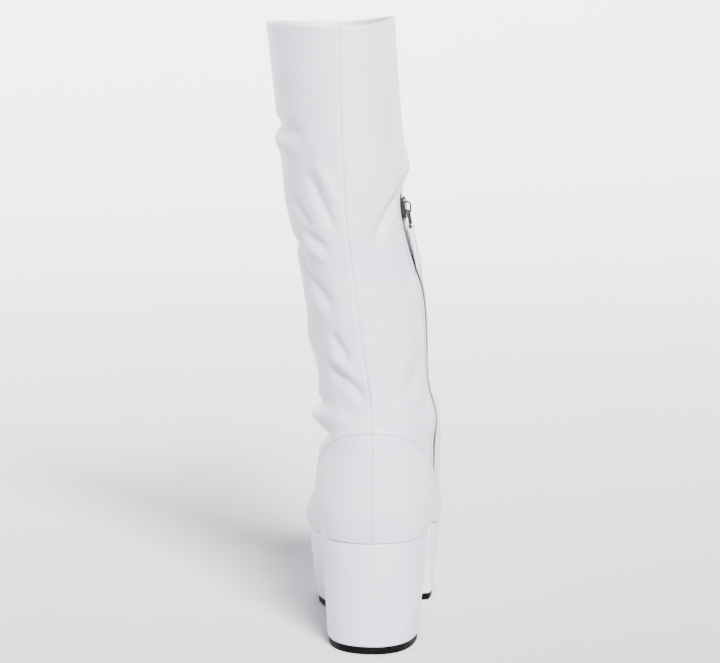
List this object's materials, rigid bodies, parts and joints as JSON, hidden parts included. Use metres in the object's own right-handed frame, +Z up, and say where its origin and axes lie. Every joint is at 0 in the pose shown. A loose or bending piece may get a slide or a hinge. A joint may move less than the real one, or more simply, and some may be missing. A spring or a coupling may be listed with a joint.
{
  "type": "platform mid-calf boot",
  "caption": "Mid-calf boot with a soft leaning shaft, inside zip with leather pull, leather-covered platform and block heel. Left foot.",
  "frame": {"origin": "middle of the boot's footprint box, on the floor", "axes": "+Z up, toe towards -Y, outer side of the left foot towards +X"},
  "size_m": [0.1108, 0.2576, 0.3946],
  "materials": {
    "upper": "smooth semi-gloss",
    "insole": "matt",
    "platform": "smooth semi-gloss",
    "outsole": "matt",
    "waist": "matt",
    "heel": "smooth semi-gloss",
    "heel_top_piece": "matt",
    "zip_tape": "woven",
    "zip_coil": "satin",
    "zip_slider": "dark nickel",
    "zip_link": "dark nickel",
    "zip_tab": "smooth semi-gloss"
  },
  "bodies": {
    "boot": {"upper": "upper", "insole": "insole", "platform": "platform", "outsole": "outsole", "waist": "waist", "heel": "heel", "heel_top_piece": "heel_top_piece", "zip_tape": "zip_tape", "zip_coil": "zip_coil", "zip_slider": "zip_slider"},
    "link": {"zip_link": "zip_link"},
    "tab": {"zip_tab": "zip_tab"}
  },
  "joints": [
    {"name": "link_swing", "type": "hinge", "parent": "boot", "child": "link", "pos_m": [-0.03369, 0.07645, 0.27539], "axis": [0.1431, 0.9896, -0.0109], "range_deg": [0, 120]},
    {"name": "tab_swing", "type": "hinge", "parent": "link", "child": "tab", "pos_m": [-0.03578, 0.07663, 0.2649], "axis": [0.1431, 0.9896, -0.0109], "range_deg": [0, 60]}
  ]
}
